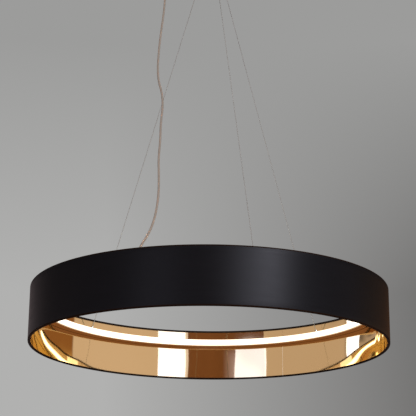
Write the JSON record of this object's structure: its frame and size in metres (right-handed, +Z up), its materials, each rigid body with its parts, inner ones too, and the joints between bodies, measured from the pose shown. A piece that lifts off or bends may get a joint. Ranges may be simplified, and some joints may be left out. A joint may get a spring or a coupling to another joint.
{
  "type": "led pendant light",
  "caption": "Ring pendant light: a shallow black drum shade lined in mirror gold with a lit inner channel, hung on adjustable steel wires from a round ceiling canopy.",
  "frame": {"origin": "centre of the canopy's ceiling face, midway between the bracket's two screw slots", "axes": "+Z up into the ceiling, +X to the right and +Y away from the viewer in the pictured view"},
  "size_m": [0.8, 0.8, 0.99],
  "materials": {
    "black_laminate": "satin",
    "gold_film": "mirror gold",
    "rim_steel": "satin",
    "foam_tape": "matte",
    "channel_aluminium": "champagne anodised",
    "strip_board": "matte",
    "led_phosphor": "gloss",
    "opal_diffuser": "opal",
    "nickel": "nickel plated",
    "zinc_steel": "zinc plated",
    "wire_rope": "bright strand",
    "brass": "machined",
    "black_steel": "satin powder coat",
    "white_plastic": "matte",
    "black_plastic": "matte",
    "clear_plastic": "clear",
    "clear_cord": "clear sheath over copper"
  },
  "bodies": {
    "canopy": {"ceiling_bracket": "zinc_steel", "earth_screw": "brass", "nipple": "zinc_steel", "nipple_nuts": "zinc_steel", "finial_nut": "nickel", "suspension_hub": "nickel", "hub_screws": "zinc_steel", "canopy_cover": "black_steel", "led_driver": "white_plastic", "terminal_block": "white_plastic", "terminal_screws": "brass", "stud_nuts": "zinc_steel", "canopy_gland": "black_plastic", "gland_nut": "black_plastic", "cord_connector": "black_plastic", "power_cord": "clear_cord", "wire_1": "wire_rope", "wire_2": "wire_rope", "wire_3": "wire_rope"},
    "ring": {"shade_outer": "black_laminate", "gold_liner": "gold_film", "rim_wire_top": "rim_steel", "rim_wire_bottom": "rim_steel", "mounting_tape": "foam_tape", "led_channel": "channel_aluminium", "channel_joiner": "channel_aluminium", "joiner_screws": "zinc_steel", "led_strip": "strip_board", "led_chips": "led_phosphor", "diffuser": "opal_diffuser", "wire_anchor_1": "nickel", "wire_anchor_2": "nickel", "wire_anchor_3": "nickel", "wire_ball_1": "zinc_steel", "wire_ball_2": "zinc_steel", "wire_ball_3": "zinc_steel", "anchor_nuts": "zinc_steel", "cord_bush": "clear_plastic", "strip_connector": "white_plastic"},
    "gripper_1": {"gripper_body_1": "nickel", "gripper_cap_1": "nickel", "gripper_spring_1": "zinc_steel"},
    "plunger_1": {"gripper_plunger_1": "brass", "gripper_balls_1": "zinc_steel"},
    "gripper_2": {"gripper_body_2": "nickel", "gripper_cap_2": "nickel", "gripper_spring_2": "zinc_steel"},
    "plunger_2": {"gripper_plunger_2": "brass", "gripper_balls_2": "zinc_steel"},
    "gripper_3": {"gripper_body_3": "nickel", "gripper_cap_3": "nickel", "gripper_spring_3": "zinc_steel"},
    "plunger_3": {"gripper_plunger_3": "brass", "gripper_balls_3": "zinc_steel"}
  },
  "joints": [
    {"name": "height_adjust", "type": "slide", "parent": "canopy", "child": "ring", "axis": [0, 0, 1], "range_m": [0, 0.25], "deforming": ["wire_1", "wire_2", "wire_3", "power_cord"]},
    {"name": "gripper_swivel_1", "type": "hinge", "parent": "canopy", "child": "gripper_1", "pos_m": [0.01902, 0.02054, -0.047], "axis": [0.7337, -0.6794, 0], "range_deg": [0, 8.2]},
    {"name": "plunger_press_1", "type": "slide", "parent": "gripper_1", "child": "plunger_1", "axis": [-0.266, -0.2873, 0.9202], "range_m": [0, 0.0025], "stiffness_N_per_m": 400, "springref_m": -0.004, "deforming": ["gripper_spring_1"]},
    {"name": "gripper_swivel_2", "type": "hinge", "parent": "canopy", "child": "gripper_2", "pos_m": [-0.02061, 0.01895, -0.047], "axis": [0.6769, 0.7361, 0], "range_deg": [0, 8.2]},
    {"name": "plunger_press_2", "type": "slide", "parent": "gripper_2", "child": "plunger_2", "axis": [0.2882, -0.265, 0.9202], "range_m": [0, 0.0025], "stiffness_N_per_m": 400, "springref_m": -0.004, "deforming": ["gripper_spring_2"]},
    {"name": "gripper_swivel_3", "type": "hinge", "parent": "canopy", "child": "gripper_3", "pos_m": [0.00644, -0.02725, -0.047], "axis": [-0.9732, -0.23, 0], "range_deg": [0, 8.2]},
    {"name": "plunger_press_3", "type": "slide", "parent": "gripper_3", "child": "plunger_3", "axis": [-0.0901, 0.381, 0.9202], "range_m": [0, 0.0025], "stiffness_N_per_m": 400, "springref_m": -0.004, "deforming": ["gripper_spring_3"]}
  ],
  "couplings": [
    {"joint": "gripper_swivel_1", "follows": "height_adjust", "rad_per_m": 0.5673},
    {"joint": "gripper_swivel_2", "follows": "height_adjust", "rad_per_m": 0.5673},
    {"joint": "gripper_swivel_3", "follows": "height_adjust", "rad_per_m": 0.5673}
  ]
}
